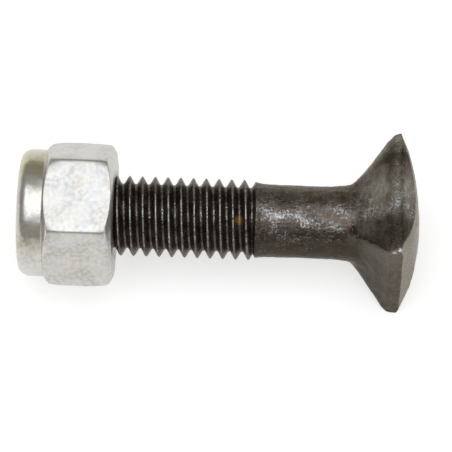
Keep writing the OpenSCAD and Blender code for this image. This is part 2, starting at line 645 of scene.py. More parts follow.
@dataclass(frozen=True)
class ForgedSteel(Finish):
    """Medium-carbon steel, hot forged and left black with mill scale, then oiled.

    To the eye it is a dark brown-grey metal with a dull gloss: the scale is pitted and cloudy, it
    has worn through to grey metal on edges and crests, an oily film darkens the thread, and one
    spot of brown rust sits in it. Painted light lies in its colour too: worn metal painted bright
    as highlights and glints on the lit side, pale painted reflections, and painted shade in the
    dark film on the head.
    """

    scale_dark: str = "#51473d"
    scale_brown: str = "#6a5a4b"
    scale_grey: str = "#7c7774"
    pit_dark: str = "#332c26"
    # The next three colours also carry painted light: pale painted reflections and highlights, bare
    # metal painted as highlights and glints, and the dark film as painted shade
    pale_scale_and_sheen: str = "#a39d92"
    bare_metal_and_glint: str = "#b4b6b8"
    oil_and_shade: str = "#2b241b"
    rust: str = "#a07a3c"
    # Rough scale brightens less than clean metal towards a grazing view
    grazing_tint: str = "#d2cec8"
    clouds: Pattern = Pattern(2.2, 3.0, 0.38, 0.62)
    patches: Pattern = Pattern(0.7, 4.0, 0.35, 0.68)
    # Pits, grain and strokes are drawn some three times as coarse as they are, so that they show
    pits: Pattern = Pattern(0.16, 2.0, 0.3, 0.7)
    grain: Pattern = Pattern(0.24, 3.0, 0.3, 0.7)
    strokes: Pattern = Pattern(0.18, 3.0, 0.3, 0.7)
    # Strokes left by handling are longer than wide: round the screw, and along it
    stretches: tuple[tuple[float, float, float], ...] = ((1.0, 0.4, 0.4), (0.2, 1.0, 1.0))
    roughness: tuple[float, float] = (0.2, 0.36)
    # Share of the roughness that oil leaves, as it fills the pits
    oiled: float = 0.5
    metal: float = 0.85
    # How much the pits darken the scale
    pit_shade: float = 0.7
    # Wear, painted glints and grain together: where the metal begins to show, and where it is bare
    rubbing: Band = Band(1.0, 1.4)
    # Rust sits in the pits: the share of them at which it would be gone, and at which it is full
    rusting: Band = Band(-0.3, 0.7)
    # Strength of the relief, and depth of its pits and of its grain in millimetres
    relief: float = 0.8
    pit_depth: float = 0.015
    grain_depth: float = 0.03

    def dress(
        self, tree: bpy.types.NodeTree, shader: bpy.types.Node, place: bpy.types.NodeSocket
    ) -> None:
        """Layers the scale, the worn metal with painted highlights, the dark film with painted
        shade, the pale painted reflections and the rust.

        Args:
            tree: The material's tree.
            shader: Its Principled BSDF.
            place: Object coordinates.
        """
        patches, pits, grain, clouds = (
            pattern.share(tree, place)
            for pattern in (self.patches, self.pits, self.grain, self.clouds)
        )
        oil_and_shade, rust, pale, wear_and_glints = (
            add_node(tree, "ShaderNodeAttribute", attribute_name=name).outputs["Fac"]
            for name in ("oil_and_shade", "rust", "pale", "wear_and_glints")
        )
        sunk = add_node(
            tree, "ShaderNodeMath", {0: pits, 1: self.pit_shade}, operation="MULTIPLY"
        ).outputs[0]
        for stretch in self.stretches:
            stretched = add_node(
                tree, "ShaderNodeVectorMath", {0: place, 1: stretch}, operation="MULTIPLY"
            ).outputs[0]
            strokes = self.strokes.share(tree, stretched)
            grain = add_node(
                tree, "ShaderNodeMath", {0: grain, 1: strokes}, operation="MAXIMUM"
            ).outputs[0]
        # Where the wear and painted highlights are slight, only the highest grains turn bright
        worn = add_node(tree, "ShaderNodeMath", {0: wear_and_glints, 1: grain}, operation="ADD").outputs[0]
        rubbed_and_lit = add_node(
            tree, "ShaderNodeMapRange",
            {"Value": worn, "From Min": self.rubbing.low, "From Max": self.rubbing.high},
        ).outputs[0]
        # Rust is patchy, and it hides the metal
        cover = add_node(
            tree, "ShaderNodeMapRange",
            {"Value": pits, "From Min": self.rusting.low, "From Max": self.rusting.high},
        ).outputs[0]
        spotted = add_node(
            tree, "ShaderNodeMath", {0: rust, 1: cover}, operation="MULTIPLY"
        ).outputs[0]
        colour = layered(tree, self.scale_dark, [
            (clouds, self.scale_brown), (patches, self.scale_grey), (sunk, self.pit_dark),
            (oil_and_shade, self.oil_and_shade), (pale, self.pale_scale_and_sheen), (rubbed_and_lit, self.bare_metal_and_glint),
            (spotted, self.rust),
        ])
        tree.links.new(colour, shader.inputs["Base Color"])
        metal = add_node(
            tree, "ShaderNodeMapRange", {"Value": spotted, "To Min": self.metal, "To Max": 0.0}
        )
        tree.links.new(metal.outputs[0], shader.inputs["Metallic"])
        shader.inputs["Specular Tint"].default_value = linear(self.grazing_tint)
        gloss = add_node(
            tree, "ShaderNodeMapRange",
            {"Value": patches, "To Min": self.roughness[0], "To Max": self.roughness[1]},
        ).outputs[0]
        dry = add_node(
            tree, "ShaderNodeMapRange", {"Value": oil_and_shade, "To Min": 1.0, "To Max": self.oiled}
        ).outputs[0]
        matt = add_node(tree, "ShaderNodeMath", {0: gloss, 1: dry}, operation="MULTIPLY")
        tree.links.new(matt.outputs[0], shader.inputs["Roughness"])
        relief = add_node(
            tree, "ShaderNodeBump",
            {"Height": pits, "Strength": self.relief, "Distance": self.pit_depth * MM},
        )
        relief = add_node(
            tree, "ShaderNodeBump",
            {"Height": grain, "Strength": self.relief, "Distance": self.grain_depth * MM,
             "Normal": relief.outputs[0]},
        )
        tree.links.new(relief.outputs[0], shader.inputs["Normal"])


@dataclass(frozen=True)
class ZincPlate(Finish):
    """Steel with bright zinc electroplate and clear passivation, handled and lightly stained.

    To the eye it is a pale silver with a soft sheen, cloudy in patches of a millimetre, with faint
    blue and warm tints and grey-brown stains where it has been touched. Its colour also holds
    painted light: olive-yellow reflection bands and a band of painted shade on the collar, and a
    painted highlight along its edges.
    """

    plate: str = "#d0cfcb"
    cool: str = "#c9ccd0"
    warm: str = "#cdc9bd"
    # Olive-yellow of the painted reflection bands on the collar
    reflection_tint: str = "#bdb98e"
    stain: str = "#93877a"
    # Near white of the painted highlight along the edges
    rubbed_and_lit: str = "#f2f2f0"
    clouds: Pattern = Pattern(1.6, 2.0, 0.4, 0.6)
    patches: Pattern = Pattern(0.38, 4.0, 0.4, 0.72)
    # The plating's grain is finer by far, and is drawn coarser so that it shows
    grain: Pattern = Pattern(0.12, 2.0, 0.3, 0.7)
    roughness: tuple[float, float] = (0.37, 0.43)
    # How much less rough the collar is, which the crimping tool drew smooth
    crimped: float = 0.09
    # Stains are patchy: the share of the patches at which they would be gone, and are full
    staining: Band = Band(-0.25, 0.75)
    # Strength of the relief and its depth in millimetres, for the grain and for the clouds
    grained: tuple[float, float] = (0.3, 0.01)
    clouded: tuple[float, float] = (0.15, 0.03)

    def dress(
        self, tree: bpy.types.NodeTree, shader: bpy.types.Node, place: bpy.types.NodeSocket
    ) -> None:
        """Layers the tints, the stains, the painted shade, reflection bands and edge highlight.

        Args:
            tree: The material's tree.
            shader: Its Principled BSDF.
            place: Object coordinates.
        """
        clouds, patches, grain = (
            pattern.share(tree, place) for pattern in (self.clouds, self.patches, self.grain)
        )
        reflection_tint, dirt_and_shade, edge, smooth = (
            add_node(tree, "ShaderNodeAttribute", attribute_name=name).outputs["Fac"]
            for name in ("reflection_tint", "dirt_and_shade", "edge", "smooth")
        )
        # Between the cloudy patches the plate shows its own colour
        clear = add_node(
            tree, "ShaderNodeMath", {0: 1.0, 1: patches}, operation="SUBTRACT"
        ).outputs[0]
        spread = add_node(
            tree, "ShaderNodeMapRange",
            {"Value": patches, "From Min": self.staining.low, "From Max": self.staining.high},
        ).outputs[0]
        stained_and_shaded = add_node(
            tree, "ShaderNodeMath", {0: dirt_and_shade, 1: spread}, operation="MULTIPLY"
        ).outputs[0]
        colour = layered(tree, self.cool, [
            (clouds, self.warm), (clear, self.plate), (reflection_tint, self.reflection_tint), (stained_and_shaded, self.stain),
            (edge, self.rubbed_and_lit),
        ])
        tree.links.new(colour, shader.inputs["Base Color"])
        shader.inputs["Metallic"].default_value = 1.0
        gloss = add_node(
            tree, "ShaderNodeMapRange",
            {"Value": patches, "To Min": self.roughness[0], "To Max": self.roughness[1]},
        ).outputs[0]
        matt = add_node(
            tree, "ShaderNodeMath", {0: smooth, 1: -self.crimped, 2: gloss},
            operation="MULTIPLY_ADD",
        )
        tree.links.new(matt.outputs[0], shader.inputs["Roughness"])
        strength, depth = self.grained
        relief = add_node(
            tree, "ShaderNodeBump", {"Height": grain, "Strength": strength, "Distance": depth * MM}
        )
        strength, depth = self.clouded
        relief = add_node(
            tree, "ShaderNodeBump",
            {"Height": clouds, "Strength": strength, "Distance": depth * MM,
             "Normal": relief.outputs[0]},
        )
        tree.links.new(relief.outputs[0], shader.inputs["Normal"])


@dataclass(frozen=True)
class Nylon(Finish):
    """Polyamide 6.6, turned from tube and left natural.

    To the eye it is a milky off-white that lets a little light in and has a waxy sheen.
    """

    milk: str = "#ebe7da"
    shade: str = "#ddd8c8"
    clouds: Pattern = Pattern(1.2, 3.0, 0.35, 0.65)
    roughness: float = 0.42
    ior: float = 1.53
    # Share of the light that it lets in, and how far in millimetres
    let_in: float = 0.2
    reach: float = 0.5
    # Strength of the relief and its depth in millimetres
    clouded: tuple[float, float] = (0.2, 0.02)

    def dress(
        self, tree: bpy.types.NodeTree, shader: bpy.types.Node, place: bpy.types.NodeSocket
    ) -> None:
        """Tints the nylon and gives it a faint unevenness.

        Args:
            tree: The material's tree.
            shader: Its Principled BSDF.
            place: Object coordinates.
        """
        clouds = self.clouds.share(tree, place)
        colour = layered(tree, self.milk, [(clouds, self.shade)])
        tree.links.new(colour, shader.inputs["Base Color"])
        shader.inputs["Roughness"].default_value = self.roughness
        shader.inputs["IOR"].default_value = self.ior
        shader.inputs["Subsurface Weight"].default_value = self.let_in
        shader.inputs["Subsurface Scale"].default_value = self.reach * MM
        strength, depth = self.clouded
        relief = add_node(
            tree, "ShaderNodeBump", {"Height": clouds, "Strength": strength, "Distance": depth * MM}
        )
        tree.links.new(relief.outputs[0], shader.inputs["Normal"])


# Pieces


@dataclass
class BeltScrew:
    """The forged screw: rolled thread, plain shank, and square tapered head with a domed top.

    All sizes are in millimetres, with the tip at height 0 and the head upwards.
    """

    lie: Lie
    thread_d: float = 7.85
    pitch: float = 1.25
    thread_len: float = 19.0
    # Height of a crest at angle 0, which sets where the crests show
    thread_start: float = 1.105
    shank_d: float = 7.13
    roll_lip: float = 0.14
    lip_w: float = 0.45
    screw_len: float = 35.0
    head_side: float = 12.9
    # How far the ridges and the corners are cut back, and limits that keep a small square sound
    ridge_cut: float = 0.28
    corner_cut: float = 0.05
    least_half: float = 0.05
    most_cut: float = 0.24
    # The punch struck the head's outer face slightly askew: it leans this way, in degrees round
    # the axis, and is so far off the axis
    lean_way: float = 118.0
    lean: float = math.radians(1.0)
    off_axis: float = 0.26
    crown_h: float = 1.8
    land: float = 1.18
    facet_slope: float = 1.0 / math.tan(math.radians(54.0))
    dome_r: float = 21.6
    fillet: float = 0.75
    # Height at which the flats of the underside leave the shank
    neck_z: float = 26.0
    columns: int = 144
    # How much the columns gather at the ridges, and the rows below the land that rounding reaches
    gather: float = 0.2
    blended_rows: int = 30
    # Over the tip: its chamfer over the pitch. Where the thread ends: how steeply its crests fall
    # away and the lip's flank rises
    tip_chamfer: float = 0.72
    crest_fall: float = 0.55
    lip_rise: float = 1.9
    # Unevenness of the forging, as the height and the length of its waves
    uneven: tuple[tuple[float, float], ...] = ((0.01, 1.1), (0.006, 0.45), (0.02, 4.0))
    # Round the axis, in degrees: the handled side, where worn metal is also painted bright as a
    # highlight, and the middle of the darker underside
    handled_and_lit: Bump = Bump(204.0, 42.0)
    under_way: float = 268.0
    # Across the head, towards the lean: a struck band, worn metal painted bright as a highlight,
    # and a crease with a painted highlight line
    struck_and_lit: Bump = Bump(3.9, 1.1)
    crease_glint: Bump = Bump(6.95, 0.16)
    # Outside the thread's outer diameter and outside its root: what counts as crest and as root
    crests: Band = Band(-0.08, -0.02)
    roots: Band = Band(0.02, 0.09)
    # Heights: where the thread's end gives way to the shank, where the head's own marks begin,
    # the ridge that stays dull, and where the dark film and painted shade end below the land and
    # beside the facets
    thread_ends: float = 0.3
    head_begins: Band = Band(28.0, 30.0)
    dull_ridge: Band = Band(27.5, 31.8)
    land_begins: Band = Band(33.0, 33.5)
    # Single marks: painted glints on two worn flats of the front corner and on a nick, two pits,
    # and a rust spot
    glints: tuple[Patch, ...] = (
        Patch(32.37, 225.6, 0.14, 0.12), Patch(32.9, 224.3, 0.18, 0.2), Patch(29.1, 164.3, 0.1, 0.1)
    )
    pits: tuple[Patch, ...] = (Patch(27.5, 232.3, 0.12, 0.12), Patch(28.5, 214.5, 0.25, 0.6))
    rust: Patch = Patch(17.35, 209.0, 0.36, 0.42)
    finish: ForgedSteel = field(default_factory=lambda: ForgedSteel("forged_steel", Slot.STEEL))

    # Numbers of rows over the shank, the underside, the land, the facets and the dome
    SHANK_ROWS, UNDERSIDE_ROWS, LAND_ROWS, FACET_ROWS, DOME_ROWS = 14, 62, 11, 15, 34
    # Radii of the rows on the tip's flat, over its own radius
    TIP_SHARES = np.array([0.0, 0.3, 0.6, 0.85, 0.97])
    # Heights above the thread's end of the rows over the rolled lip
    LIP_LEVELS = np.array([0.0, 0.08, 0.16, 0.26, 0.38, 0.52, 0.7, 0.95])

    def thread(self) -> Thread:
        """The rolled thread: sharp crests with a narrow flat and rounded roots.

        Returns:
            The thread, from which the nut's own is taken.
        """
        crest_r = self.thread_d / 2.0
        return Thread(
            self.pitch, self.thread_start, crest_r, crest_r - THREAD_DEPTH * self.pitch,
            crest_share=0.07, root_share=0.15,
        )

    def square(self, turns: np.ndarray, half: np.ndarray) -> np.ndarray:
        """Outline of a square with blunted corners.

        Args:
            turns: Angle of each point, in radians; a flat's middle is at 0.
            half: Half the side at each point.

        Returns:
            The radius half / (|cos|^p + |sin|^p)^(1/p), where p is chosen so that a corner is cut
            back by ridge_cut, and by corner_cut where the head is widest.
        """
        half = np.maximum(half, self.least_half)
        widest = Band(0.8, 1.0).rise(half / (self.head_side / 2.0))
        cut = self.ridge_cut + (self.corner_cut - self.ridge_cut) * widest
        share = np.minimum(cut / (half * math.sqrt(2.0)), self.most_cut)
        power = -math.log(2.0) / np.log(1.0 - share)
        spread = np.abs(np.cos(turns)) ** power + np.abs(np.sin(turns)) ** power
        return half / spread ** (1.0 / power)

    def head_rows(self, turns: np.ndarray) -> tuple[np.ndarray, np.ndarray]:
        """Rows of the shank's upper end, the head's underside, its land, facets and dome.

        The underside is the pyramid half side = side / 2 - (land's foot - height), joined to the
        shank by a rounded maximum. The facets lean in by their slope and end where they meet
        the dome, a sphere on the axis, at the smaller root of the quadratic for their radius.

        Args:
            turns: Angle of each column, in radians.

        Returns:
            Rows by columns by 2 of (radius, height), and the angle of each point.
        """
        half = self.head_side / 2.0
        land_top = self.screw_len - self.crown_h
        land_z = land_top - self.land
        levels = np.concatenate([
            self.thread_len + self.LIP_LEVELS,
            np.linspace(self.thread_len + 1.3, self.neck_z, self.SHANK_ROWS),
            np.linspace(self.neck_z, land_z, self.UNDERSIDE_ROWS)[1:],
        ])
        # The columns gather at the four ridges as they near the head
        pull = Band(self.thread_len + 1.0, self.neck_z + 1.0).rise(levels)[:, None]
        angles = turns[None] + self.gather * pull * np.sin(4.0 * turns)[None]
        heights = np.broadcast_to(levels[:, None], angles.shape)
        under = self.square(angles, half - (land_z - heights))
        step = (heights - self.thread_len) / self.lip_w
        stem = self.shank_d / 2.0 + self.roll_lip * np.exp(-(step**2))
        flare = Band(self.neck_z - 2.0, self.neck_z + 2.0)
        joined = smooth_max(stem, under, self.fillet * flare.rise(heights))
        radii = np.where(heights < flare.low, stem, joined)
        turned = angles[-1]
        rim = self.square(turned, np.full_like(turned, half))
        slope = self.facet_slope * half / rim
        reach = land_top + self.facet_slope * half - (self.screw_len - self.dome_r)
        across = 1.0 + slope**2
        root = (reach * slope) ** 2 - across * (reach**2 - self.dome_r**2)
        # A facet stays at least a sliver wide at the corners
        inner = np.minimum((reach * slope - np.sqrt(np.maximum(root, 0.0))) / across, rim * 0.985)
        foot = np.stack([rim, np.full_like(rim, land_z)], axis=-1)
        top = np.stack([rim, np.minimum(land_top, self.dome(rim))], axis=-1)
        body = np.stack([radii, heights], axis=-1)[:-1]
        land_rows = between(foot, top, eased(self.LAND_ROWS))[:-1]
        edge = np.stack([inner, self.dome(inner)], axis=-1)
        facet_rows = between(top, edge, eased(self.FACET_ROWS))[:-1]
        shares = np.linspace(0.0, 1.0, self.DOME_ROWS)
        shrinking = inner[None] * np.cos(0.5 * np.pi * shares)[:, None]
        dome_rows = np.stack([shrinking, self.dome(shrinking)], axis=-1)
        rows = np.concatenate([body, land_rows, facet_rows, dome_rows])
        fixed = len(body) - self.blended_rows
        rows[fixed:] = softened(rows[fixed:].copy(), 1)
        arris = len(body) + len(land_rows) + len(facet_rows)
        rows = self.rubbed_round(rows, turned, fixed, arris)
        above = np.broadcast_to(turned, (len(rows) - len(body), len(turned)))
        return rows, np.concatenate([angles[:-1], above])

    def dome(self, radius: np.ndarray) -> np.ndarray:
        """Height of the domed top at a radius: middle + sqrt(dome_r^2 - radius^2)."""
        return self.screw_len - self.dome_r + np.sqrt(self.dome_r**2 - radius**2)

    def rubbed_round(
        self, rows: np.ndarray, turned: np.ndarray, fixed: int, arris: int
    ) -> np.ndarray:
        """Rounds the land away on the uppermost side, and a little at two opposite corners.

        Args:
            rows: Rows by columns by 2 of (radius, height).
            turned: Angle of each column above the underside, in radians.
            fixed: Row up to which nothing changes.
            arris: Row of the edge between facets and dome, which stays crisp.

        Returns:
            The rows, blended with rows that are averaged more often, by a share for each column.
        """
        degrees = np.degrees(turned)
        row = np.arange(len(rows))
        # Share of each column, row at which the rounding ends, and how often rows are averaged:
        # on the uppermost side, at the corner below it in the picture, and at the one above it
        rounds = (
            (Band(142.0, 217.0).inside(degrees, 17.0), arris - 3, 64),
            (Bump(315.0, 14.0).at(degrees), arris - 2, 40),
            (Bump(135.0, 9.0).at(degrees), arris - 18, 40),
        )
        for column_share, end, times in rounds:
            kept = Band(fixed, fixed + 8.0).rise(row) * Band(end - 7.0, end).fall(row)
            share = (column_share[None] * kept[:, None])[..., None]
            rows = rows + share * (softened(rows.copy(), times) - rows)
        return rows

    def thread_rows(self, turns: np.ndarray) -> np.ndarray:
        """Rows of the tip and the thread.

        The thread's radius is held under the tip's chamfer cone, and at its end under a falling
        cap and over the flank of the rolled lip.

        Args:
            turns: Angle of each column, in radians.

        Returns:
            Rows by columns by 2 of (radius, height).
        """
        thread = self.thread()
        heights = thread.rows(0.0, self.thread_len, turns)
        radii = thread.radius(thread.phase(heights, turns[None]))
        tip_r = thread.crest_r - self.tip_chamfer * self.pitch
        radii = np.minimum(radii, tip_r + heights)
        lip_r = self.shank_d / 2.0 + self.roll_lip
        ahead = self.thread_len - heights
        radii = np.minimum(radii, lip_r + self.crest_fall * ahead)
        radii = np.maximum(radii, lip_r - self.lip_rise * ahead)
        body = np.stack([radii, heights], axis=-1)
        flat = np.stack([tip_r * self.TIP_SHARES, np.zeros_like(self.TIP_SHARES)], axis=-1)
        cap = np.broadcast_to(flat[:, None], (len(flat), len(turns), 2))
        return np.concatenate([cap, body])

    def build(self) -> bpy.types.Object:
        """Makes the screw, and presses the forging's unevenness into it.

        Returns:
            The finished piece.
        """
        turns = np.linspace(0.0, 2.0 * np.pi, self.columns + 1)
        lower = self.thread_rows(turns)
        upper, spun = self.head_rows(turns)
        rows = np.concatenate([lower, upper])
        angles = np.concatenate([np.broadcast_to(turns, lower.shape[:2]), spun])
        skin = Surface("belt_screw_forging", self.lie)
        skin.fill(angles, rows[..., 0], rows[..., 1], ring=False)
        self.mark(skin)
        plain = Band(self.thread_len - 0.1, self.thread_len + 0.8).rise(skin.points[:, 2])
        fine, finer, broad = (
            height * Waves(length, 11 + i).at(skin.points)
            for i, (height, length) in enumerate(self.uneven)
        )
        relief = fine + finer
        # A little deeper than it stands out, so that it stays inside the solid's size
        skin.press(plain * (relief + broad - 0.01) + (1.0 - plain) * 0.15 * relief)
        skin.shift(self.askew(skin.points))
        piece = skin.finish(self.finish.material())
        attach(piece, Body.SCREW.value)
        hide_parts("belt_screw")
        return piece

    def askew(self, points: np.ndarray) -> np.ndarray:
        """Steps that lean the head's outer face and put it off the axis, easing in over the land.

        Args:
            points: Points by 3.

        Returns:
            For each point its share of (off_axis that way, -lean * distance that way); the
            corner on the far side and the middle of the dome stay on their axis.
        """
        land_top = self.screw_len - self.crown_h
        share = Band(land_top - 1.1 * self.land, land_top).rise(points[:, 2])
        across = self.across(points)
        radius = np.hypot(points[:, 0], points[:, 1])
        rim = Band(4.0, 8.0).rise(radius) * Band(-8.0, 0.0).rise(across)
        sideways = (self.off_axis * rim)[:, None] * self.lean_direction()
        return share[:, None] * np.column_stack([sideways, -self.lean * across])

    def lean_direction(self) -> np.ndarray:
        """Unit vector across the axis, in the direction in which the head leans."""
        way = math.radians(self.lean_way)
        return np.array([math.cos(way), math.sin(way)])

    def across(self, points: np.ndarray) -> np.ndarray:
        """Distance of each point from the axis in the direction in which the head leans."""
        return points[:, :2] @ self.lean_direction()

    def mark(self, skin: Surface) -> None:
        """Stores at each point the screw's wear with painted highlights, its pale reflections, its
        dark film and its rust.

        Args:
            skin: The screw's skin, not yet pressed out of its plain shape.
        """
        points, height = skin.points, skin.points[:, 2]
        angle = degrees_round(points)
        threaded = Band(self.thread_len - self.thread_ends, self.thread_len).fall(height)
        head = self.head_begins.rise(height)
        crest = self.crests.rise(skin.radius() - self.thread_d / 2.0)
        rough = 0.5 + 0.5 * np.tanh(Waves(0.8, 21).at(points) + 0.3)
        # The handled side, where wear gathers and is also painted bright as a highlight on the lit
        # side
        upper = self.handled_and_lit.at(angle)
        struck_and_lit = self.struck_and_lit.at(self.across(points)) * upper * head
        # Dark bands on the head's uppermost side: partly stain, partly painted shade
        stain = self.stained_and_shaded(points, angle)
        rust = self.rust.at(points, angle)
        skin.store("rust", rust)

        # Bare metal: worn on the handled side and painted bright there as a highlight, the struck
        # band and the crease as painted highlights, and in the thread crest wear and painted root
        # glints, brightest on the lit side
        root = self.roots.fall(skin.radius() - self.thread().root_r)
        # In the thread, crest wear and painted root glints are strongest on the lit side
        turned = 0.15 + (0.3 * crest + 0.09 * root * upper) * (1.0 + rough) * upper
        plain = 0.05 + upper * (0.26 + 0.15 * np.tanh(Waves(2.0, 22).at(points)))
        plain = plain + 0.16 * struck_and_lit + 0.05 * head * upper + 0.7 * self.crease_glint_line(points, angle)
        wear_and_glints = threaded * turned + (1.0 - threaded) * plain
        below = Band(221.0, 262.0).inside(angle, 8.0) * Band(26.5, 28.0).rise(height)
        wear_and_glints = wear_and_glints * (1.0 - 0.9 * np.maximum(stain, rust)) * (1.0 - 0.7 * below)
        # Edges are rubbed too, apart from the ridges near the shank, and single painted glints are
        # added
        edges = Band(0.5, 2.2).rise(skin.sharpness()) * (1.0 - threaded) * rough
        edges = edges * (1.0 - 0.75 * self.dull_ridge.inside(height, 1.0))
        glints = sum(patch.at(points, angle) for patch in self.glints)
        skin.store("wear_and_glints", wear_and_glints + 0.3 * edges + glints)

        # Pale colour: painted highlight on the struck band and the lit uppermost side, painted
        # reflections on the dome, the lower facets and one ridge, and thin pale scale on the
        # crests, paler on the lit side
        clear = upper * head * Band(33.2, 34.0).fall(height) * (1.0 - stain)
        pale = self.painted_reflections(points, angle) + 0.75 * struck_and_lit * (0.5 + rough) + 0.2 * clear
        skin.store("pale", pale + 0.45 * threaded * crest * rough * (0.5 + 0.5 * upper))

        # Dark film: oil in the thread, darker on the underside graded by height, the head's dark
        # bands of stain and painted shade, and dark pits
        off = np.abs((angle - self.under_way + 180.0) % 360.0 - 180.0)
        beneath = 1.0 - smooth_step(20.0 + 24.0 * head, 62.0 - 10.0 * head, off)
        beneath = beneath * (1.0 - threaded) * self.land_begins.fall(height)
        # How dark the underside is made at each height
        underside_darkness = 0.75 + 0.1 * Band(28.5, 31.3).inside(height, 1.2)
        underside_darkness = underside_darkness - 0.35 * Band(31.3, 32.3).rise(height)
        film = threaded * (1.0 - 0.6 * crest) * (0.3 + 0.3 * np.tanh(Waves(1.5, 23).at(points)))
        stain = stain * (0.55 + 0.3 * self.land_begins.rise(height))
        pits = sum(patch.at(points, angle) for patch in self.pits)
        skin.store("oil_and_shade", film + np.maximum(underside_darkness * beneath, stain) + pits)

    def crease_glint_line(self, points: np.ndarray, angle: np.ndarray) -> np.ndarray:
        """A painted highlight line along the edge at the head's upper corner, on its uppermost
        side.

        Args:
            points: Points by 3.
            angle: Angle of each point round the axis, in degrees.

        Returns:
            A share for each point.
        """
        crease_glint = self.crease_glint.at(self.across(points)) * (points[:, 2] > 31.6)
        return crease_glint * Band(134.0, 138.0).rise(angle)

    def painted_reflections(self, points: np.ndarray, angle: np.ndarray) -> np.ndarray:
        """Painted reflections of the bright floor and backdrop, in a pale colour: on the dome, on
        the lower facets and along one ridge.

        Args:
            points: Points by 3.
            angle: Angle of each point round the axis, in degrees.

        Returns:
            A share for each point.
        """
        height, radius = points[:, 2], np.hypot(points[:, 0], points[:, 1])
        inside = np.hypot(radius, height - (self.screw_len - self.dome_r)) - self.dome_r
        domed = 0.55 * Band(-0.06, -0.01).rise(inside) * Band(32.6, 33.2).rise(height)
        facets = 0.6 * Band(226.0, 315.0).inside(angle, 9.0) * Band(33.15, 33.3).rise(height)
        ridge = 0.55 * Bump(136.0, 4.0).at(angle) * Band(28.5, 30.0).rise(height)
        return np.maximum(np.maximum(domed, facets), ridge)

    def stained_and_shaded(self, points: np.ndarray, angle: np.ndarray) -> np.ndarray:
        """Where the head's uppermost side is darker, along its front and at its back: partly stain,
        partly painted shade.

        Args:
            points: Points by 3.
            angle: Angle of each point round the axis, in degrees.

        Returns:
            A share from 0 to 1 for each point.
        """
        across = self.across(points) + 0.25 * Waves(1.6, 24).at(points)
        front = Band(-0.1, 1.1).fall(across)
        back = 0.8 * Band(5.9, 6.95).inside(across, 0.35)
        side = Band(135.0, 223.0).inside(angle, 6.0) * Band(28.9, 30.9).rise(points[:, 2])
        return np.maximum(front, back) * side


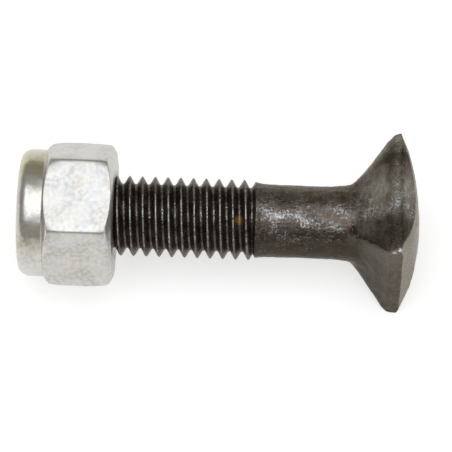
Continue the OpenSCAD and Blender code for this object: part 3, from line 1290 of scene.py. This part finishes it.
@dataclass
class LockNut:
    """High hexagonal nut with a chamfer at both ends and a collar crimped over its locking ring.

    Sizes are in millimetres. Heights count from the bearing face to the lip of the collar.
    """

    lie: Lie
    nut_on: float
    screw_thread: Thread
    nut_af: float = 12.8
    nut_h: float = 9.3
    hex_h: float = 6.8
    bearing_d: float = 12.2
    chamfer_slope: float = math.tan(math.radians(30.0))
    collar_d: float = 12.45
    lip_opening: float = 9.2
    lip_t: float = 0.7
    crimp_r: float = 1.0
    countersink_d: float = 8.8
    nut_turn: float = 12.0
    seat_r: float = 5.38
    seat_z: float = 6.41
    # How much wider than the screw's thread the internal one is: at its crests, at its roots, all
    # over; and shares of a pitch that its flats take
    crest_clear: float = 0.02
    root_clear: float = 0.1
    thread_clear: float = 0.07
    crest_share: float = 0.1
    root_share: float = 0.24
    columns: int = 192
    # How much the columns gather at the corners, and the radii over which its outside begins
    gather: float = 0.11
    plated: Band = Band(5.5, 6.0)
    # Powers that round the hexagon's corners: in the middle of their height and at their ends
    corner_power: float = 56.0
    worn_power: float = 18.0
    finish: ZincPlate = field(default_factory=lambda: ZincPlate("zinc_plate", Slot.ZINC))

    def thread(self) -> Thread:
        """The internal thread, on the screw's own helix and a little wider.

        Returns:
            The thread, without the clearance that it has all over.
        """
        screw = self.screw_thread
        return Thread(
            screw.pitch, screw.start, screw.crest_r + self.crest_clear,
            screw.root_r + self.root_clear, self.crest_share, self.root_share,
        )

    def hexagon(self, turns: np.ndarray, power: float) -> np.ndarray:
        """Outline of a hexagon with rounded corners.

        Args:
            turns: Angles in radians.
            power: How sharp the corners are.

        Returns:
            The radius a / (sum of max(0, cos(angle - flat's angle))^power)^(1/power).
        """
        flats = np.radians(self.nut_turn + 60.0 * np.arange(6))
        facing = np.maximum(np.cos(turns[:, None] - flats[None]), 0.0)
        return self.nut_af / 2.0 / (facing**power).sum(axis=1) ** (1.0 / power)

    def outside(self, turns: np.ndarray) -> np.ndarray:
        """Rows from the countersink's rim over the bearing face, hexagon and collar to the seat.

        Args:
            turns: Angle of each column, in radians.

        Returns:
            Rows by columns by 2 of (radius, height over the bearing face).
        """
        side = self.hexagon(turns, self.worn_power)
        sharp = self.hexagon(turns, self.corner_power)
        flat = np.ones_like(side)
        bearing, collar = self.bearing_d / 2.0, self.collar_d / 2.0

        def ring(radius: float | np.ndarray, height: float | np.ndarray) -> np.ndarray:
            """One row of points at a radius and a height."""
            return np.stack([radius * flat, height * flat], axis=-1)

        foot = (side - bearing) * self.chamfer_slope
        head = self.hex_h - np.maximum(side - collar, 0.0) * self.chamfer_slope
        arc = np.linspace(0.0, 0.5 * np.pi, 12)
        bend = [
            ring(collar - self.crimp_r + self.crimp_r * math.cos(a),
                 self.nut_h - self.crimp_r + self.crimp_r * math.sin(a))
            for a in arc
        ]
        # Where each stretch begins, and the number of rows over it
        marks = [
            (ring(self.countersink_d / 2.0, 0.0), 8), (ring(bearing, 0.0), 10),
            (ring(side, foot), 26), (ring(side, head), 9), (ring(collar, self.hex_h), 12),
        ]
        stops = [mark for mark, _ in marks] + [bend[0]]
        parts = [
            between(stops[i], stops[i + 1], eased(count))[:-1]
            for i, (_, count) in enumerate(marks)
        ]
        # The corners are sharp in the middle of their height and worn round at both ends
        hexagon = 2
        span = 2.0 * eased(marks[hexagon][1])[:-1, None] - 1.0
        parts[hexagon][..., 0] += (sharp - side)[None] * (1.0 - span**4)
        lip, under_lip = self.lip_opening / 2.0, self.nut_h - self.lip_t
        parts.append(np.stack(bend[:-1]))
        parts.append(between(bend[-1], ring(lip, self.nut_h), eased(6))[:-1])
        parts.append(between(ring(lip, self.nut_h), ring(lip, under_lip), eased(6))[:-1])
        # The seat's corners stay square, so that the locking ring has its gap all round
        seat = [ring(lip, under_lip), ring(self.seat_r, under_lip), ring(self.seat_r, self.seat_z)]
        return np.concatenate([softened(np.concatenate(parts), 3), np.stack(seat)])

    def inside(self, turns: np.ndarray) -> np.ndarray:
        """Rows of the seat's floor, the internal thread and the countersink.

        The internal thread follows the screw's own helix, a clearance further out, and is held
        outside the countersink's cone.

        Args:
            turns: Angle of each column, in radians.

        Returns:
            Rows by columns by 2 of (radius, height over the bearing face).
        """
        thread = self.thread()
        climbing = thread.rows(self.nut_on - self.seat_z, self.nut_on, turns)
        radii = thread.radius(thread.phase(climbing, turns[None])) + self.thread_clear
        heights = self.nut_on - climbing
        rim = self.countersink_d / 2.0
        radii = np.maximum(radii, rim - heights / self.chamfer_slope)
        opened = thread.crest_r + self.thread_clear
        radii = np.maximum(radii, opened - (self.seat_z - heights) / self.chamfer_slope)
        return np.stack([radii, heights], axis=-1)

    def build(self) -> bpy.types.Object:
        """Makes the nut as one closed ring of rows.

        Returns:
            The finished piece.
        """
        turns = np.linspace(0.0, 2.0 * np.pi, self.columns + 1)
        corner = turns - math.radians(self.nut_turn)
        gathered = turns + self.gather * np.sin(6.0 * corner)
        outer = self.outside(gathered)
        inner = self.inside(turns)
        rows = np.concatenate([outer, inner])
        angles = np.concatenate([
            np.broadcast_to(gathered, outer.shape[:2]), np.broadcast_to(turns, inner.shape[:2]),
        ])
        skin = Surface("lock_nut_plated", self.lie)
        skin.fill(angles, rows[..., 0], self.nut_on - rows[..., 1], ring=True)
        relief = 0.008 * Waves(1.3, 31).at(skin.points) + 0.003 * Waves(0.5, 32).at(skin.points)
        skin.press(self.plated.rise(skin.radius()) * (relief - 0.012))
        self.mark(skin)
        piece = skin.finish(self.finish.material())
        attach(piece, Body.NUT.value)
        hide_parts("lock_nut")
        return piece

    def mark(self, skin: Surface) -> None:
        """Stores the nut's stains, painted shade and highlight, crimped smoothness and reflection
        bands.

        Args:
            skin: The nut's skin.
        """
        cloudy = 0.5 + 0.5 * np.tanh(1.2 * Waves(2.4, 41).at(skin.points))
        angle = degrees_round(skin.points)
        root = self.nut_on - self.hex_h
        collar = Band(root - 0.1, root + 0.1).fall(skin.points[:, 2])
        skin.store("smooth", collar)
        # Dirt: in clouds and on the lower flat, and painted shade in a dark band on the collar
        # below its highlight
        dirt_and_shade = 0.04 + 0.3 * cloudy + 0.16 * Bump(self.nut_turn + 240.0, 35.0).at(angle)
        skin.store("dirt_and_shade", dirt_and_shade + 0.4 * collar * Bump(237.0, 9.0).at(angle))
        # Painted highlight along the sharp edges, away from the collar
        skin.store("edge", Band(0.25, 0.9).rise(skin.sharpness()) * (1.0 - collar) * cloudy)
        # Painted reflection: olive-yellow bands above and below the collar's highlight
        reflection_tint = 0.6 * Bump(150.0, 28.0).at(angle) + 0.3 * Bump(240.0, 9.0).at(angle)
        skin.store("reflection_tint", collar * reflection_tint)


@dataclass
class LockingRing:
    """The nylon ring inside the nut's collar, with softened edges.

    Sizes are in millimetres. Heights count from the nut's bearing face.
    """

    lie: Lie
    nut_on: float
    ring_d: float = 10.7
    bore_d: float = 7.96
    low: float = 6.47
    ring_h: float = 2.1
    edge: float = 0.22
    columns: int = 128
    finish: Nylon = field(default_factory=lambda: Nylon("nylon", Slot.NYLON))

    def build(self) -> bpy.types.Object:
        """Makes the ring: a rectangle with rounded corners carried round the axis.

        Returns:
            The finished piece.
        """
        turns = np.linspace(0.0, 2.0 * np.pi, self.columns + 1)
        inner, outer = self.bore_d / 2.0, self.ring_d / 2.0
        middle = np.array([(inner + outer) / 2.0, self.low + self.ring_h / 2.0])
        half = np.array([(outer - inner) / 2.0, self.ring_h / 2.0])
        corners = np.array([[1, 1], [-1, 1], [-1, -1], [1, -1]])
        quarter = np.linspace(0.0, 0.5 * np.pi, 7)
        outline = np.concatenate([
            middle + corner * (half - self.edge)
            + self.edge * np.stack(
                [np.cos(quarter + k * 0.5 * np.pi), np.sin(quarter + k * 0.5 * np.pi)], axis=-1)
            for k, corner in enumerate(corners)
        ])
        rows = np.broadcast_to(outline[:, None], (len(outline), len(turns), 2))
        angles = np.broadcast_to(turns, rows.shape[:2])
        skin = Surface("nylon_locking_ring", self.lie)
        skin.fill(angles, rows[..., 0], self.nut_on - rows[..., 1], ring=True)
        piece = skin.finish(self.finish.material())
        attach(piece, Body.RING.value)
        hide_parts("nylon_insert")
        return piece


# Stage


@dataclass
class Stage:
    """Pale floor, soft light and the camera at the photograph's viewing angle."""

    lie: Lie
    # Scale of the photograph, in pixels of its 452 pixel frame for each millimetre at the screw
    pixels_per_mm: float = 10.2
    distance_mm: float = 300.0
    # Heights along the screw: where the view is square to it, and what the frame is centred on
    square_on: float = 21.9
    centred_on: float = 16.1
    # How far the axis lies over the middle of the frame there, in pixels
    axis_over_middle: float = 6.8
    fall: float = math.radians(2.0)
    # Angle between the head's upper flat and the view
    view_turn: float = math.radians(28.0)
    floor_side: float = 6.0
    board: str = "#d0d0d0"
    # How brightly the board shines where it is seen, to be near white
    board_lift: float = 0.62
    horizon: str = "#ffffff"
    wall: str = "#9c988c"
    ceiling: str = "#b0b0b0"
    # How high above the horizon the wall and the ceiling begin, as the height of a unit vector
    wall_begins: Band = Band(0.06, 0.2)
    ceiling_begins: Band = Band(0.66, 0.86)
    lamp_colour: str = "#f6faff"
    lamp_place: tuple[float, float, float] = (0.0, -0.08, 0.45)
    lamp_side: float = 0.46
    lamp_power: float = 1.12

    def camera(self) -> None:
        """Sets the camera from the photograph's scale, distance and angles."""
        axis = self.lie.axis
        upward = -self.lie.basis()[0]
        side = np.array([0.0, 1.0, 0.0])
        towards = math.cos(self.view_turn) * upward - math.sin(self.view_turn) * side
        image_up = math.sin(self.view_turn) * upward + math.cos(self.view_turn) * side
        eye = self.lie.tip + self.square_on * MM * axis + self.distance_mm * MM * towards
        aim = self.lie.tip + self.centred_on * MM * axis
        aim = aim - self.axis_over_middle / self.pixels_per_mm * MM * image_up
        ahead = (aim - eye) / np.linalg.norm(aim - eye)
        right = axis - (axis @ ahead) * ahead
        right /= np.linalg.norm(right)
        above = np.cross(right, ahead)
        turned_right = math.cos(self.fall) * right + math.sin(self.fall) * above
        turned_up = math.cos(self.fall) * above - math.sin(self.fall) * right
        data = bpy.data.cameras.new("camera")
        data.sensor_width = SENSOR_MM
        data.lens = self.pixels_per_mm * self.distance_mm * SENSOR_MM / IMAGE_SIDE
        data.clip_start, data.clip_end = 0.01, 20.0
        camera = bpy.data.objects.new("camera", data)
        pose = np.eye(4)
        pose[:3, :4] = np.stack([turned_right, turned_up, -ahead, eye], axis=-1)
        camera.matrix_world = Matrix(pose.tolist())
        bpy.context.scene.collection.objects.link(camera)
        bpy.context.scene.camera = camera

    def seen(self, tree: bpy.types.NodeTree) -> bpy.types.NodeSocket:
        """Tells what is seen from what only lights the object.

        Args:
            tree: The material's tree.

        Returns:
            A share that is 1 for what the camera, a reflection or clear glass sees, else 0.
        """
        path = add_node(tree, "ShaderNodeLightPath")
        share = path.outputs["Is Camera Ray"]
        for ray in ("Is Glossy Ray", "Is Transmission Ray"):
            share = add_node(
                tree, "ShaderNodeMath", {0: share, 1: path.outputs[ray]},
                operation="ADD", use_clamp=True,
            ).outputs[0]
        return share

    def floor(self) -> None:
        """A plain pale floor that keeps the shadow and is near white where it is seen."""
        half = self.floor_side / 2.0
        mesh = bpy.data.meshes.new("floor")
        corners = [(-half, -half, 0.0), (half, -half, 0.0), (half, half, 0.0), (-half, half, 0.0)]
        mesh.from_pydata(corners, [], [(0, 1, 2, 3)])
        material = bpy.data.materials.new("matt_white_board")
        material.use_nodes = True
        tree = material.node_tree
        tree.nodes.clear()
        board = add_node(
            tree, "ShaderNodeBsdfPrincipled",
            {"Base Color": linear(self.board), "Roughness": 0.9, "Specular IOR Level": 0.1,
             "Emission Color": linear(self.horizon)},
        )
        lift = add_node(
            tree, "ShaderNodeMath", {0: self.seen(tree), 1: self.board_lift}, operation="MULTIPLY"
        )
        tree.links.new(lift.outputs[0], board.inputs["Emission Strength"])
        add_node(tree, "ShaderNodeOutputMaterial", {"Surface": board.outputs[0]})
        mesh.materials.append(material)
        floor = bpy.data.objects.new("floor", mesh)
        bpy.context.scene.collection.objects.link(floor)

    def world(self) -> None:
        """A plain surround: white at the horizon, a grey wall above it and a pale ceiling."""
        world = bpy.data.worlds.new("studio")
        world.use_nodes = True
        tree = world.node_tree
        tree.nodes.clear()
        way = add_node(tree, "ShaderNodeTexCoord").outputs["Generated"]
        up = add_node(tree, "ShaderNodeSeparateXYZ", {"Vector": way}).outputs["Z"]
        wall, ceiling = (
            add_node(
                tree, "ShaderNodeMapRange",
                {"Value": up, "From Min": begins.low, "From Max": begins.high},
            ).outputs[0]
            for begins in (self.wall_begins, self.ceiling_begins)
        )
        colour = layered(tree, self.horizon, [(wall, self.wall), (ceiling, self.ceiling)])
        surround = add_node(tree, "ShaderNodeBackground", {"Color": colour, "Strength": 1.0})
        add_node(tree, "ShaderNodeOutputWorld", {"Surface": surround.outputs[0]})
        bpy.context.scene.world = world

    def lamp(self) -> None:
        """A soft square lamp that faces the middle of the floor."""
        data = bpy.data.lights.new("softbox", "AREA")
        data.shape = "SQUARE"
        data.size = self.lamp_side
        data.energy = self.lamp_power
        data.color = linear(self.lamp_colour)[:3]
        lamp = bpy.data.objects.new("softbox", data)
        ahead = -np.array(self.lamp_place) / np.linalg.norm(self.lamp_place)
        right = np.cross(ahead, [0.0, 1.0, 0.0])
        right /= np.linalg.norm(right)
        pose = np.eye(4)
        pose[:3, :4] = np.stack([right, np.cross(right, ahead), -ahead, self.lamp_place], axis=-1)
        lamp.matrix_world = Matrix(pose.tolist())
        bpy.context.scene.collection.objects.link(lamp)

    def build(self) -> None:
        """Sets the camera, the floor, the surround and the lamp."""
        self.camera()
        self.floor()
        self.world()
        self.lamp()
        scene = bpy.context.scene
        scene.view_settings.view_transform = "Standard"


def main() -> None:
    """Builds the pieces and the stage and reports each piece."""
    logging.basicConfig(level=logging.INFO, format="%(name)s: %(message)s")
    lie = Lie.of_frame(frame["joints"], NUT_ON)
    screw = BeltScrew(lie)
    builders = [screw, LockNut(lie, NUT_ON, screw.thread()), LockingRing(lie, NUT_ON)]
    for builder in builders:
        piece = builder.build()
        LOG.info("%s: %d faces", piece.name, len(piece.data.polygons))
    Stage(lie).build()


if __name__ == "__main__":
    main()
